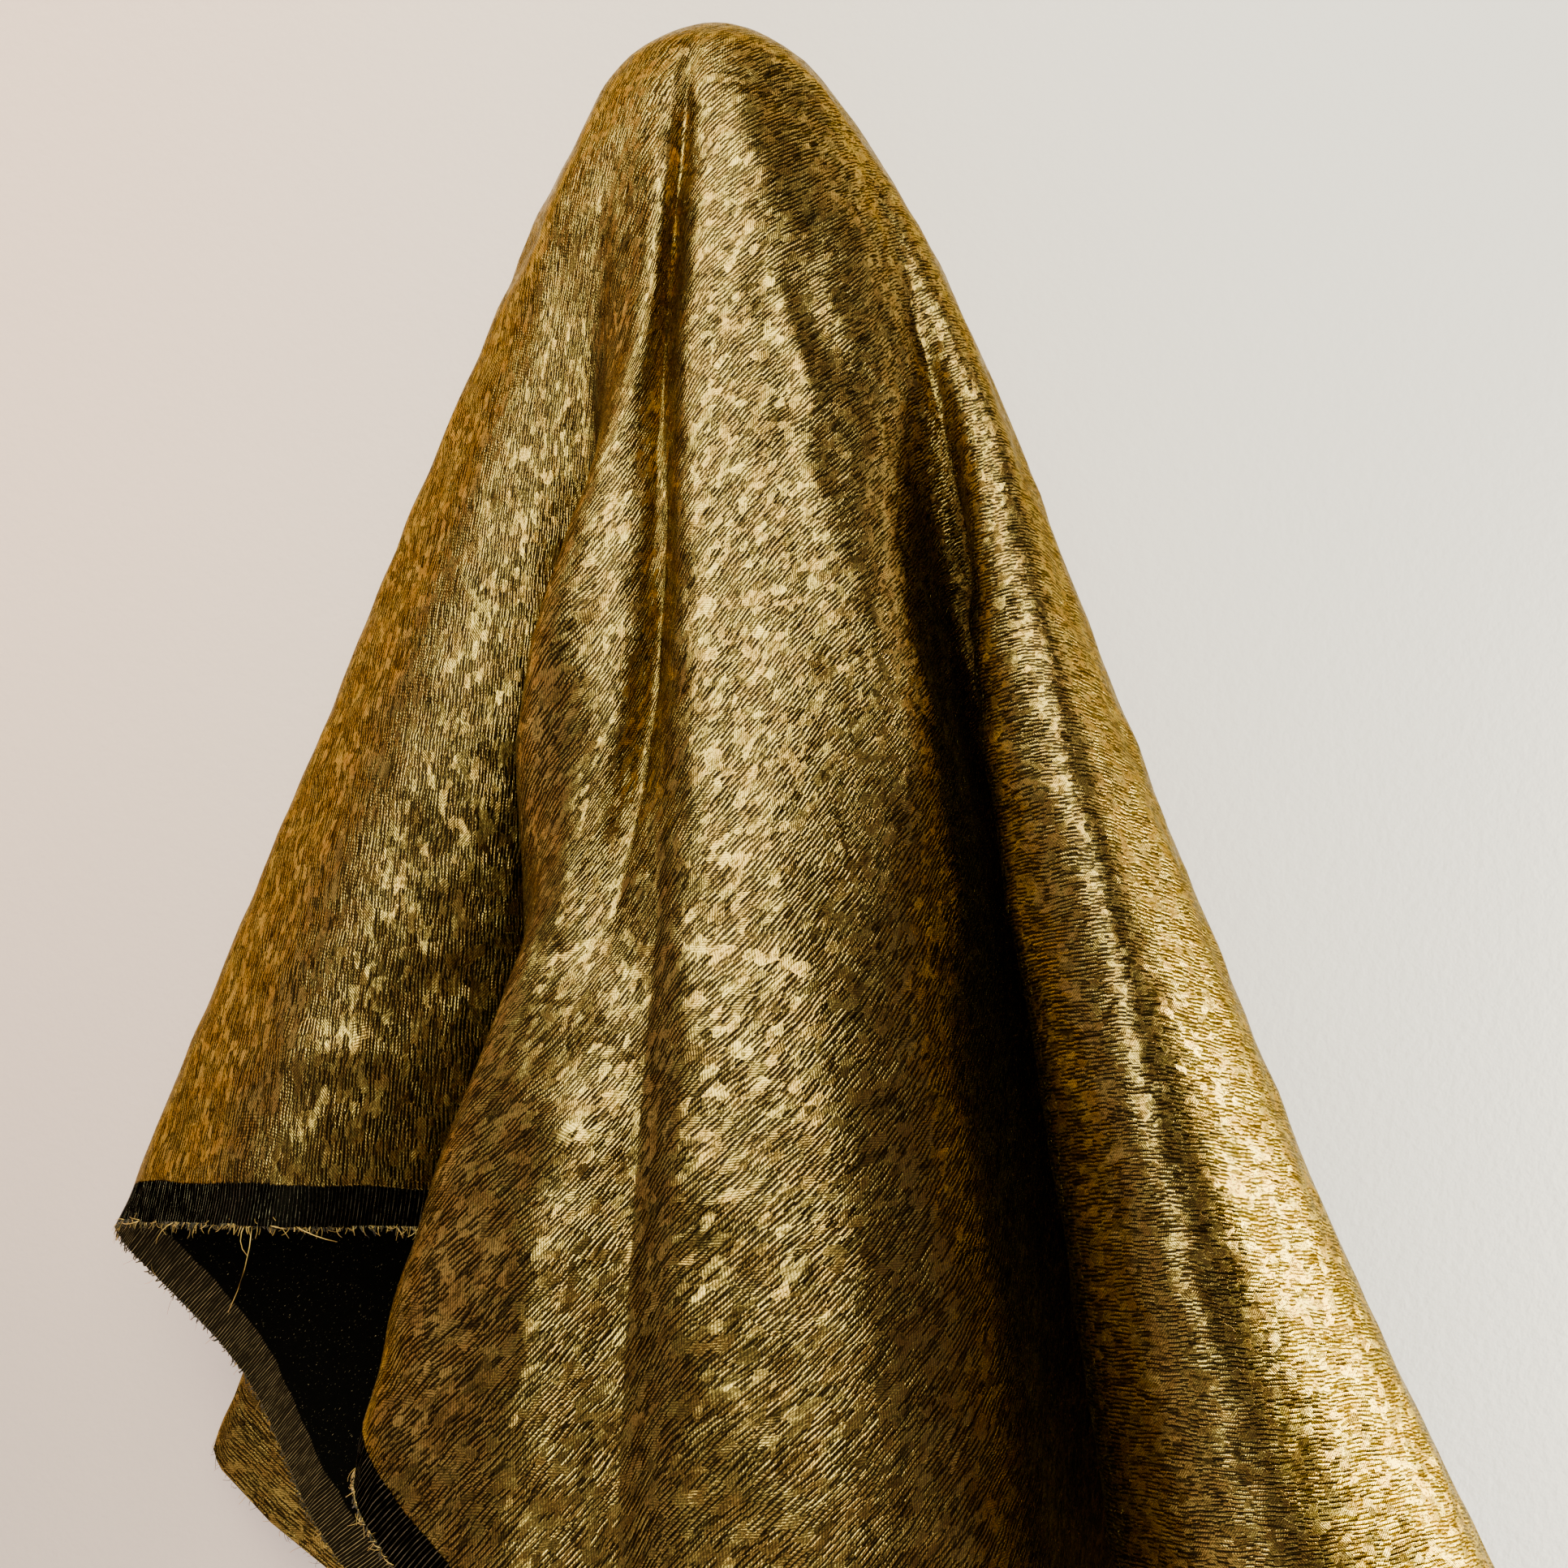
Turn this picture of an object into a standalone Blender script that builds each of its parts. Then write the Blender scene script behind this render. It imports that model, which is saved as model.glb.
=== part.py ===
"""Brocade panel: one cut length of gold brocade that hangs in folds from a single point.

The cloth is a rectangle, woven side to side between its two long edges. It hangs from a point
well inside that rectangle, so it falls as a cone of folds with a rounded crown. Lengths are in
metres, +Z is up, the origin is the hang point in the middle of the crown, the room lies towards
-Y and the wall behind the cloth towards +Y.
"""

from typing import NamedTuple

import bmesh
import bpy
import numpy as np

OBJECT_NAME = "brocade_panel"
MM = 0.001

# The flat cloth, measured from the hang point
WIDTH_TO_SELVAGE = 0.477
WIDTH_TO_CUT_SIDE = 0.234
LENGTH_IN_FRONT = 0.700
LENGTH_BEHIND = 0.560
THICKNESS = 0.0010

# The crown is a shallow dome, and the folds start below its rim
RIM_RADIUS = 0.032
RIM_DROP = 0.013
SHOULDER_DROP = 0.058
UPPER_DROP = 0.130
MIDDLE_DROP = 0.270
LOWER_DROP = 0.430
HEM_DROP = 0.700
CROWN_ROUNDNESS = 1.25
HEM_FLARE_KEPT = 0.6

# The grid: rays some degrees apart, at least so many between two folds, and rings across them
WIDEST_RAY_GAP = 4.0
FEWEST_RAYS = 2
RINGS = 19
FIRST_RING = 0.012
SMALLEST_RAY_GAP = 0.8
LINE_SAMPLES = 400

GOLD = (0.60, 0.40, 0.11, 1.0)
ROUGHNESS = 0.42
METALLIC = 0.85

DROPS = (0.0, RIM_DROP, SHOULDER_DROP, UPPER_DROP, MIDDLE_DROP, LOWER_DROP, HEM_DROP)
MIDDLE_SHARE = (MIDDLE_DROP - UPPER_DROP) / (LOWER_DROP - UPPER_DROP)


class Fold(NamedTuple):
    """One fold line, from the crown to the hem.

    top_deg and flat_deg say where the line lies on the flat cloth, near the crown and below:
    0 points at the selvage, 90 at the front edge. crown_deg is its bearing as it leaves the
    crown, 0 at the left, 90 at the front and 270 at the wall. shoulder, upper, lower and hem
    are its places (x, y) in millimetres at those drops, bend is how far it stands off the
    straight line halfway down, and softness says how widely the cloth turns there, 0 to 1.
    """

    name: str
    top_deg: float
    flat_deg: float
    crown_deg: float
    shoulder: tuple
    upper: tuple
    lower: tuple
    hem: tuple
    bend: tuple
    softness: float


FOLDS = (
    Fold("left cone side", -21, -21, -4, (-59, -8), (-89, -18), (-204, -52), (-306, -76), (0, 0), 0.6),
    Fold("left cone front", -9, -11, 22, (-51, -33), (-69, -46), (-150, -108), (-205, -150), (0, 0), 0.9),
    Fold("left cone right", 1, -3, 36, (-40, -42), (-52, -52), (-96, -90), (-126, -120), (4, -4), 0.8),
    Fold("first pleat, deep", 8, 14, 48, (-33, -46), (-41, -54), (8, -30), (40, -20), (-16, -6), 0.7),
    Fold("front fold, left", 16, 30, 60, (-26, -50), (-33, -65), (-88, -136), (-126, -176), (-3, 0), 0.8),
    Fold("first ridge", 23, 36, 72, (-16, -54), (-22, -74), (-47, -158), (-64, -205), (0, 0), 0.8),
    Fold("crease", 32, 39.5, 78, (-10, -49), (-15, -62), (-20, -148), (-24, -198), (0, 3), 0.8),
    Fold("second ridge", 40, 42, 84, (-3, -54), (-4, -75), (2, -158), (6, -206), (0, 0), 0.8),
    Fold("face, middle", 52, 46.5, 100, (15, -54), (20, -73), (41, -154), (54, -200), (0, 0), 0.9),
    Fold("face, slope", 66, 52, 116, (36, -44), (54, -62), (84, -126), (108, -158), (2, 0), 0.9),
    Fold("second pleat, left", 78, 67, 130, (48, -36), (70, -50), (144, 6), (185, 30), (-8, 2), 0.8),
    Fold("second pleat, right", 84, 78, 138, (52, -32), (76, -45), (174, -6), (228, 5), (-10, 2), 0.8),
    Fold("tube, left", 91, 92, 146, (56, -27), (85, -47), (117, -100), (150, -130), (-5, 0), 0.8),
    Fold("tube, crest", 98, 100, 158, (62, -19), (93, -42), (150, -138), (208, -182), (0, 0), 0.9),
    Fold("tube, side", 110, 110, 180, (66, -4), (99, -20), (207, -80), (318, -100), (0, 0), 0.8),
    Fold("tube, back", 121, 121, 196, (62, 12), (92, 6), (204, 0), (290, -12), (0, 0), 0.8),
    Fold("back flute, in, near", 160, 160, 209, (51, 14), (42, 0), (72, -1), (90, -1), (0, 0), 0.8),
    Fold("back flute, in, far", 168, 168, 214, (48, 19), (41, 8), (72, 7), (90, 7), (0, 0), 0.8),
    Fold("back flute, out, near", 193, 193, 223, (42, 26), (70, 18), (116, 11), (140, 11), (0, 0), 0.8),
    Fold("back flute, out, far", 201, 201, 228, (39, 29), (69, 25), (116, 19), (140, 19), (0, 0), 0.8),
    Fold("wall fold, in, near", 222, 222, 236, (29, 30), (14, 13), (10, 17), (10, 17), (-4, 0), 0.8),
    Fold("wall fold, in, far", 229, 229, 242, (25, 32), (13, 20), (10, 25), (10, 25), (-4, 0), 0.8),
    Fold("wall fold, right, near", 250, 250, 258, (16, 37), (34, 36), (150, 39), (215, 40), (0, 0), 0.8),
    Fold("wall fold, right, far", 255, 255, 263, (11, 39), (32, 42), (150, 46), (215, 47), (0, 0), 0.8),
    Fold("wall fold, left, far", 291, 291, 299, (-27, 36), (-61, 39), (-152, 38), (-246, 38), (0, 0), 0.8),
    Fold("wall fold, left, near", 295, 295, 304, (-30, 34), (-61, 33), (-152, 30), (-246, 29), (0, 0), 0.8),
    Fold("inner layer, right, far", 308, 308, 320, (-42, 25), (-38, 20), (-34, 13), (-30, 7), (0, 0), 0.8),
    Fold("inner layer, right, near", 312, 312, 324, (-44, 23), (-39, 14), (-35, 6), (-32, -1), (0, 0), 0.8),
    Fold("inner layer, middle", 320, 320, 332, (-50, 16), (-59, 8), (-104, -5), (-168, -14), (0, 0), 0.8),
    Fold("inner layer, left", 329, 329, 343, (-55, 8), (-75, 2), (-149, -18), (-240, -26), (0, 0), 0.8),
)


def column(name):
    """One named column of the fold table, as an array with a row for each fold."""
    return np.array([getattr(fold, name) for fold in FOLDS], float)


def past_the_first(knots, degrees):
    """The same directions, moved by whole turns to lie at or after the first knot."""
    return (degrees - knots[0]) % 360 + knots[0]


def closed_ring(knots, points, degrees):
    """Points of the closed ring that passes through one point of each fold line.

    The ring is a polygon whose corners are rounded by parabolas, as wide as the softness says.
    The corners are solved so that the rounded ring passes through the given points.
    """
    after = np.diff(np.append(knots, knots[0] + 360))
    before = np.roll(after, 1)
    reach = 0.5 * column("softness") * np.minimum(after, before)
    index = np.arange(len(knots))
    weights = np.zeros((len(knots), len(knots)))
    weights[index, index] = 1 - reach / 4 * (1 / after + 1 / before)
    weights[index, (index + 1) % len(knots)] = reach / 4 / after
    weights[index, (index - 1) % len(knots)] = reach / 4 / before
    corners = np.linalg.solve(weights, points)

    turned = past_the_first(knots, degrees)
    ends = np.append(knots, knots[0] + 360)
    loop = np.concatenate([corners, corners[:1]])
    straight = np.stack([np.interp(turned, ends, loop[:, axis]) for axis in range(2)], axis=-1)
    slope = (np.roll(corners, -1, axis=0) - corners) / after[:, None]
    turn = slope - np.roll(slope, 1, axis=0)
    away = np.abs((turned[:, None] - knots + 180) % 360 - 180)
    rounding = np.maximum(reach - away, 0) ** 2 / (4 * reach)
    return straight + rounding @ turn


def crown_rim(degrees):
    """The crown's rim, a circle on which each fold line leaves at its own bearing."""
    knots = column("top_deg")
    bearings = column("crown_deg")
    turned = past_the_first(knots, degrees)
    ends = np.append(knots, knots[0] + 360)
    bearing = np.radians(np.interp(turned, ends, np.append(bearings, bearings[0] + 360)))
    return -RIM_RADIUS * np.stack([np.cos(bearing), np.sin(bearing)], axis=-1)


def stations(degrees):
    """Where each direction of the cloth passes the crown, rim, shoulder and so on, to the hem."""
    top, below = column("top_deg"), column("flat_deg")
    halfway = top + MIDDLE_SHARE * (below - top)
    upper, lower = column("upper") * MM, column("lower") * MM
    middle = upper + MIDDLE_SHARE * (lower - upper) + column("bend") * MM
    level = [
        np.zeros((len(degrees), 2)),
        crown_rim(degrees),
        closed_ring(top, column("shoulder") * MM, degrees),
        closed_ring(top, upper, degrees),
        closed_ring(halfway, middle, degrees),
        closed_ring(below, lower, degrees),
        closed_ring(below, column("hem") * MM, degrees),
    ]
    return np.stack([np.column_stack([xy, np.full(len(xy), -drop)]) for xy, drop in zip(level, DROPS)])


def nominal_lengths(points):
    """Mean length of cloth down to each station, the same for every direction."""
    step = np.linalg.norm(np.diff(points, axis=0), axis=2).mean(axis=1)
    return np.concatenate([[0.0], np.cumsum(step)])


def hanging_lines(degrees):
    """Smooth lines down the cloth and the length of cloth along each, as Hermite curves."""
    points = stations(degrees)
    at = nominal_lengths(points)
    span = np.diff(at)
    slope = np.diff(points, axis=0) / span[:, None, None]
    after, before = span[1:, None, None], span[:-1, None, None]
    tangent = np.empty_like(points)
    tangent[1:-1] = (after * slope[:-1] + before * slope[1:]) / (after + before)
    tangent[0] = slope[0] * np.array([CROWN_ROUNDNESS, CROWN_ROUNDNESS, 0.0])
    tangent[-1] = slope[-1] * np.array([HEM_FLARE_KEPT, HEM_FLARE_KEPT, 1.0])

    along = np.linspace(0.0, at[-1] + span[-1] / 2, LINE_SAMPLES)
    piece = np.clip(np.searchsorted(at, along, side="right") - 1, 0, len(span) - 1)
    share = np.minimum((along - at[piece]) / span[piece], 1.0)[:, None, None]
    width = span[piece][:, None, None]
    line = (
        (2 * share**3 - 3 * share**2 + 1) * points[piece]
        + (share**3 - 2 * share**2 + share) * width * tangent[piece]
        + (3 * share**2 - 2 * share**3) * points[piece + 1]
        + (share**3 - share**2) * width * tangent[piece + 1]
    )
    line += np.maximum(along - at[-1], 0.0)[:, None, None] * tangent[-1]
    step = np.linalg.norm(np.diff(line, axis=0), axis=2)
    length = np.concatenate([np.zeros((1, len(degrees))), np.cumsum(step, axis=0)])
    return line, length


def reach_of_cloth(degrees):
    """Length of cloth from the hang point to the edge of the rectangle, in each direction."""
    across = np.cos(np.radians(degrees))
    forward = np.sin(np.radians(degrees))
    side = np.where(across > 0, WIDTH_TO_SELVAGE, WIDTH_TO_CUT_SIDE) / np.maximum(np.abs(across), 1e-9)
    end = np.where(forward > 0, LENGTH_IN_FRONT, LENGTH_BEHIND) / np.maximum(np.abs(forward), 1e-9)
    return np.minimum(side, end)


def corner_directions():
    """Directions of the rectangle's four corners on the flat cloth."""
    across = np.array([WIDTH_TO_SELVAGE, -WIDTH_TO_CUT_SIDE, -WIDTH_TO_CUT_SIDE, WIDTH_TO_SELVAGE])
    forward = np.array([LENGTH_IN_FRONT, LENGTH_IN_FRONT, -LENGTH_BEHIND, -LENGTH_BEHIND])
    return np.degrees(np.arctan2(forward, across))


def ray_directions():
    """Directions of the grid's rays: closer together near the folds, with one at each corner."""
    knots = column("flat_deg")
    ends = np.append(knots, knots[0] + 360)
    gaps = np.diff(ends)
    wanted = np.maximum(np.round(gaps / WIDEST_RAY_GAP).astype(int), 1)
    rays = np.concatenate([
        start + gap * (1 - np.cos(np.pi * np.arange(count) / count)) / 2
        for start, gap, count in zip(ends, gaps, np.maximum(wanted, FEWEST_RAYS))
    ])
    corners = past_the_first(knots, corner_directions())
    apart = np.abs(rays[:, None] - corners).min(axis=1)
    return np.sort(np.concatenate([rays[apart > SMALLEST_RAY_GAP], corners]))


def cloth_points(degrees):
    """The cloth's surface: a grid of points, a row for each ring and a column for each ray."""
    line, length = hanging_lines(degrees)
    share = np.linspace(0.0, 1.0, RINGS)[:, None]
    wanted = FIRST_RING + share * (reach_of_cloth(degrees) - FIRST_RING)
    grid = np.empty(wanted.shape + (3,))
    for ray in range(len(degrees)):
        for axis in range(3):
            grid[:, ray, axis] = np.interp(wanted[:, ray], length[:, ray], line[:, ray, axis])
    return grid


def cloth_mesh(name):
    """A polar sheet: a fan of triangles at the hang point and quads between the rings."""
    grid = cloth_points(ray_directions())
    shape = bmesh.new()
    centre = shape.verts.new((0.0, 0.0, 0.0))
    rings = [[shape.verts.new(point) for point in ring] for ring in grid]
    count = len(rings[0])
    for ray in range(count):
        beside = (ray + 1) % count
        shape.faces.new((centre, rings[0][ray], rings[0][beside]))
        for inner, outer in zip(rings, rings[1:]):
            shape.faces.new((inner[ray], outer[ray], outer[beside], inner[beside]))
    mesh = bpy.data.meshes.new(name)
    shape.to_mesh(mesh)
    shape.free()
    mesh.shade_smooth()
    return mesh


def brocade_material():
    """Gold metallic brocade."""
    material = bpy.data.materials.new("gold brocade")
    material.use_nodes = True
    surface = material.node_tree.nodes["Principled BSDF"]
    surface.inputs["Base Color"].default_value = GOLD
    surface.inputs["Roughness"].default_value = ROUGHNESS
    surface.inputs["Metallic"].default_value = METALLIC
    material.diffuse_color = GOLD
    return material


def build_panel(collection):
    """The cloth as one sheet, with half its thickness on each side of the worked-out surface."""
    panel = bpy.data.objects.new(OBJECT_NAME, cloth_mesh(OBJECT_NAME))
    panel.data.materials.append(brocade_material())
    collection.objects.link(panel)
    wall = panel.modifiers.new("cloth thickness", "SOLIDIFY")
    wall.thickness = THICKNESS
    wall.offset = 0.0
    return panel


def main():
    for existing in list(bpy.data.objects):
        bpy.data.objects.remove(existing, do_unlink=True)
    collection = bpy.data.collections.new("brocade panel")
    bpy.context.scene.collection.children.link(collection)
    build_panel(collection)


main()
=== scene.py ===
"""Looks of the brocade panel: the hung cloth as a fine sheet, its weave, its selvage and its frayed edges.

The flat cloth is measured from the hang point, in metres: u runs across the loom to the selvage, v runs along
the cloth to the front edge. Both are kept on every point of the sheet, so the weave follows the folds.
"""

from __future__ import annotations

import logging
import math
from dataclasses import dataclass, field
from enum import Enum
from typing import NamedTuple, Union

import bpy
import numpy as np
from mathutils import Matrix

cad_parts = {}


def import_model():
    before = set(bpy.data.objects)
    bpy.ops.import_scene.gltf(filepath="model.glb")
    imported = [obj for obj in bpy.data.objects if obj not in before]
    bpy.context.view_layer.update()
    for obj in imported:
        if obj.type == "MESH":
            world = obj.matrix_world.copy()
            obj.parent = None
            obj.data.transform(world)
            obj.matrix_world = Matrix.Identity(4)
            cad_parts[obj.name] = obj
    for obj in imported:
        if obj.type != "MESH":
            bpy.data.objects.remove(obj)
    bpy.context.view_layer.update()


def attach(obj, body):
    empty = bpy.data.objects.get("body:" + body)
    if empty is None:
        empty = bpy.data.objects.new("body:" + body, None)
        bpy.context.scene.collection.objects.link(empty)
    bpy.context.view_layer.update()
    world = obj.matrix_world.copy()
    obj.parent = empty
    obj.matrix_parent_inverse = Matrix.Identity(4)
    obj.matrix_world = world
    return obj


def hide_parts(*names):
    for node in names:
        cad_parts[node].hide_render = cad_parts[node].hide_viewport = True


LOG = logging.getLogger("brocade_panel")
MM = 0.001
IMAGE_SIDE = 1932
NODE = "brocade_panel"
BODY = "root"
PLACE = "cloth_place"
TINT = "thread_tint"
UV_MAP = "cloth"

Array = np.ndarray
Colour = tuple[float, float, float]
Value = Union[float, tuple, bpy.types.NodeSocket]


class Side(Enum):
    """The two faces of the cloth, each with its own material slot."""

    GOLD = 0
    REVERSE = 1


class Edge(Enum):
    """The four edges of the flat cloth."""

    SELVAGE = "selvage"
    FRONT = "front"
    CUT_SIDE = "cut side"
    BACK = "back"


class Fold(NamedTuple):
    """One fold line of the drape, from the crown to the hem.

    top_deg and flat_deg say where it lies on the flat cloth, near the crown and below: 0 points at the selvage,
    90 at the front edge. crown_deg is its bearing as it leaves the crown. shoulder, upper, lower and hem are its
    places (x, y) in millimetres at those drops, bend is how far it stands off the straight line halfway down,
    and softness says how widely the cloth turns there, 0 to 1.
    """

    name: str
    top_deg: float
    flat_deg: float
    crown_deg: float
    shoulder: tuple[float, float]
    upper: tuple[float, float]
    lower: tuple[float, float]
    hem: tuple[float, float]
    bend: tuple[float, float] = (0, 0)
    softness: float = 0.8


FOLDS = (
    Fold("left cone side", -21, -21, -4, (-59, -8), (-89, -18), (-204, -52), (-306, -76), (0, 0), 0.6),
    Fold("left cone front", -9, -11, 22, (-51, -33), (-69, -46), (-150, -108), (-205, -150), (0, 0), 0.9),
    Fold("left cone right", 1, -3, 36, (-40, -42), (-52, -52), (-96, -90), (-126, -120), (4, -4), 0.8),
    Fold("first pleat, deep", 8, 14, 48, (-33, -46), (-41, -54), (8, -30), (40, -20), (-16, -6), 0.7),
    Fold("front fold, left", 16, 30, 60, (-26, -50), (-33, -65), (-88, -136), (-126, -176), (-3, 0), 0.8),
    Fold("first ridge", 23, 36, 72, (-16, -54), (-22, -74), (-47, -158), (-64, -205)),
    Fold("crease", 32, 39.5, 78, (-10, -49), (-15, -62), (-20, -150), (-24, -200), (0, 2), 0.25),
    Fold("second ridge", 40, 42, 84, (-3, -54), (-7, -75), (-6, -157), (-3, -206)),
    Fold("face, middle", 52, 46.5, 100, (15, -54), (20, -73), (41, -154), (54, -200), (0, 0), 0.9),
    Fold("face, slope", 66, 52, 116, (36, -44), (54, -62), (84, -126), (108, -158), (2, 0), 0.9),
    Fold("second pleat, left", 78, 67, 130, (48, -36), (70, -50), (144, 6), (185, 30), (-8, 2), 0.8),
    Fold("second pleat, right", 84, 78, 138, (52, -32), (76, -45), (174, -6), (228, 5), (-10, 2), 0.8),
    Fold("tube, left", 91, 92, 146, (56, -27), (85, -47), (117, -100), (150, -130), (-5, 0), 0.8),
    Fold("tube, crest", 98, 100, 158, (62, -19), (93, -42), (150, -138), (208, -182), (0, 0), 0.9),
    Fold("tube, side", 110, 110, 180, (66, -4), (99, -20), (207, -80), (318, -100)),
    Fold("tube, back", 121, 121, 196, (62, 12), (92, 6), (204, 0), (290, -12)),
    Fold("back flute, in, near", 160, 160, 209, (51, 14), (42, 0), (72, -1), (90, -1)),
    Fold("back flute, in, far", 168, 168, 214, (48, 19), (41, 8), (72, 7), (90, 7)),
    Fold("back flute, out, near", 193, 193, 223, (42, 26), (70, 18), (116, 11), (140, 11)),
    Fold("back flute, out, far", 201, 201, 228, (39, 29), (69, 25), (116, 19), (140, 19)),
    Fold("wall fold, in, near", 222, 222, 236, (29, 30), (14, 13), (10, 17), (10, 17), (-4, 0), 0.8),
    Fold("wall fold, in, far", 229, 229, 242, (25, 32), (13, 20), (10, 25), (10, 25), (-4, 0), 0.8),
    Fold("wall fold, right, near", 250, 250, 258, (16, 37), (34, 36), (150, 39), (215, 40)),
    Fold("wall fold, right, far", 255, 255, 263, (11, 39), (32, 42), (150, 46), (215, 47)),
    Fold("wall fold, left, far", 291, 291, 299, (-27, 36), (-61, 39), (-152, 38), (-246, 38)),
    Fold("wall fold, left, near", 295, 295, 304, (-30, 34), (-61, 33), (-152, 30), (-246, 29)),
    Fold("inner layer, right, far", 308, 308, 320, (-42, 25), (-38, 20), (-34, 13), (-30, 7)),
    Fold("inner layer, right, near", 312, 312, 324, (-44, 23), (-39, 14), (-35, 6), (-32, -1)),
    Fold("inner layer, middle", 320, 320, 332, (-50, 16), (-59, 8), (-104, -5), (-168, -14)),
    Fold("inner layer, left", 329, 329, 343, (-55, 8), (-75, 2), (-149, -18), (-240, -26)),
)


class Crease(NamedTuple):
    """A short raised crease, between two places (u, v) of the flat cloth, all in millimetres."""

    name: str
    start: tuple[float, float]
    end: tuple[float, float]
    width: float
    height: float


CREASES = (
    Crease("slope, first", (104, 226), (101, 300), 4.0, 1.3),
    Crease("slope, second", (136, 235), (142, 300), 4.0, 1.2),
    Crease("slope, third", (138, 212), (163, 256), 4.0, 1.0),
    Crease("slope, fourth", (88, 262), (84, 338), 4.0, 1.3),
    Crease("beside the second ridge", (82, 112), (114, 174), 4.5, 1.4),
    Crease("beside the second ridge, end", (113, 166), (135, 182), 4.0, 1.2),
    Crease("below it", (121, 172), (140, 212), 4.0, 1.1),
    Crease("tube's edge, first", (46, 212), (30, 232), 4.5, 1.2),
    Crease("tube's edge, second", (14, 262), (-4, 284), 4.5, 1.3),
    Crease("tube's edge, third", (0, 310), (-20, 330), 4.5, 1.3),
    Crease("tube's edge, fourth", (-4, 368), (-24, 386), 4.5, 1.2),
    Crease("shoulder", (12, 50), (-12, 98), 5.0, 1.0),
    Crease("left cone, low", (413, -98), (424, -24), 3.5, 1.0),
    Crease("left cone, lower", (426, -86), (420, -52), 3.0, 0.8),
    Crease("left cone, middle", (390, -48), (382, -4), 3.5, 0.9),
    Crease("left cone, upper", (238, -44), (231, -8), 3.5, 0.8),
)


class LooseThread(NamedTuple):
    """A long thread that has come out of the selvage.

    along is its root's place v in millimetres, length is in millimetres, lean turns it along the edge and lift
    off the cloth, in degrees, and curl is how far it turns from root to tip, in degrees.
    """

    name: str
    along: float
    length: float
    lean: float
    lift: float
    curl: float


LOOSE_THREADS = (
    LooseThread("long, to the right", -70, 15, 60, 25, 18),
    LooseThread("short, level", -81, 7, 78, 30, 5),
    LooseThread("hooked", -90, 11, -35, 15, 80),
    LooseThread("hanging", -87, 28, 12, 12, -30),
    LooseThread("curled back", -128, 9, -60, 40, 50),
    LooseThread("at the corner", -150, 8, -40, 45, -60),
)


@dataclass(frozen=True)
class FlatCloth:
    """The cut length of brocade before it is hung, measured from the hang point."""

    to_selvage: float = 0.477
    to_cut_side: float = 0.234
    in_front: float = 0.700
    behind: float = 0.560
    selvage_width: float = 0.0128

    def size(self) -> tuple[float, float]:
        """Width across the loom and length along it."""
        return self.to_selvage + self.to_cut_side, self.in_front + self.behind

    def reach(self, degrees: Array) -> Array:
        """Length of cloth from the hang point to the rectangle's edge.

        Each direction meets the side edge at its distance over the cosine and the end at its distance over the
        sine. The nearer of the two is the edge.

        Args:
            degrees: directions on the flat cloth.

        Returns:
            One length for each direction.
        """
        across, forward = np.cos(np.radians(degrees)), np.sin(np.radians(degrees))
        side = np.where(across > 0, self.to_selvage, self.to_cut_side) / np.maximum(np.abs(across), 1e-9)
        end = np.where(forward > 0, self.in_front, self.behind) / np.maximum(np.abs(forward), 1e-9)
        return np.minimum(side, end)

    def corners(self) -> Array:
        """Directions of the four corners, in degrees."""
        across = np.array([self.to_selvage, -self.to_cut_side, -self.to_cut_side, self.to_selvage])
        forward = np.array([self.in_front, self.in_front, -self.behind, -self.behind])
        return np.degrees(np.arctan2(forward, across))

    def edge(self, edge: Edge, share: Array) -> tuple[Array, Array]:
        """Places (u, v) along one edge.

        Args:
            edge: which edge.
            share: how far along it, 0 to 1.

        Returns:
            The two flat coordinates of each place.
        """
        along = -self.behind + share * (self.in_front + self.behind)
        across = -self.to_cut_side + share * (self.to_selvage + self.to_cut_side)
        if edge is Edge.SELVAGE:
            return np.full_like(share, self.to_selvage), along
        if edge is Edge.CUT_SIDE:
            return np.full_like(share, -self.to_cut_side), along
        if edge is Edge.FRONT:
            return across, np.full_like(share, self.in_front)
        return across, np.full_like(share, -self.behind)


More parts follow.
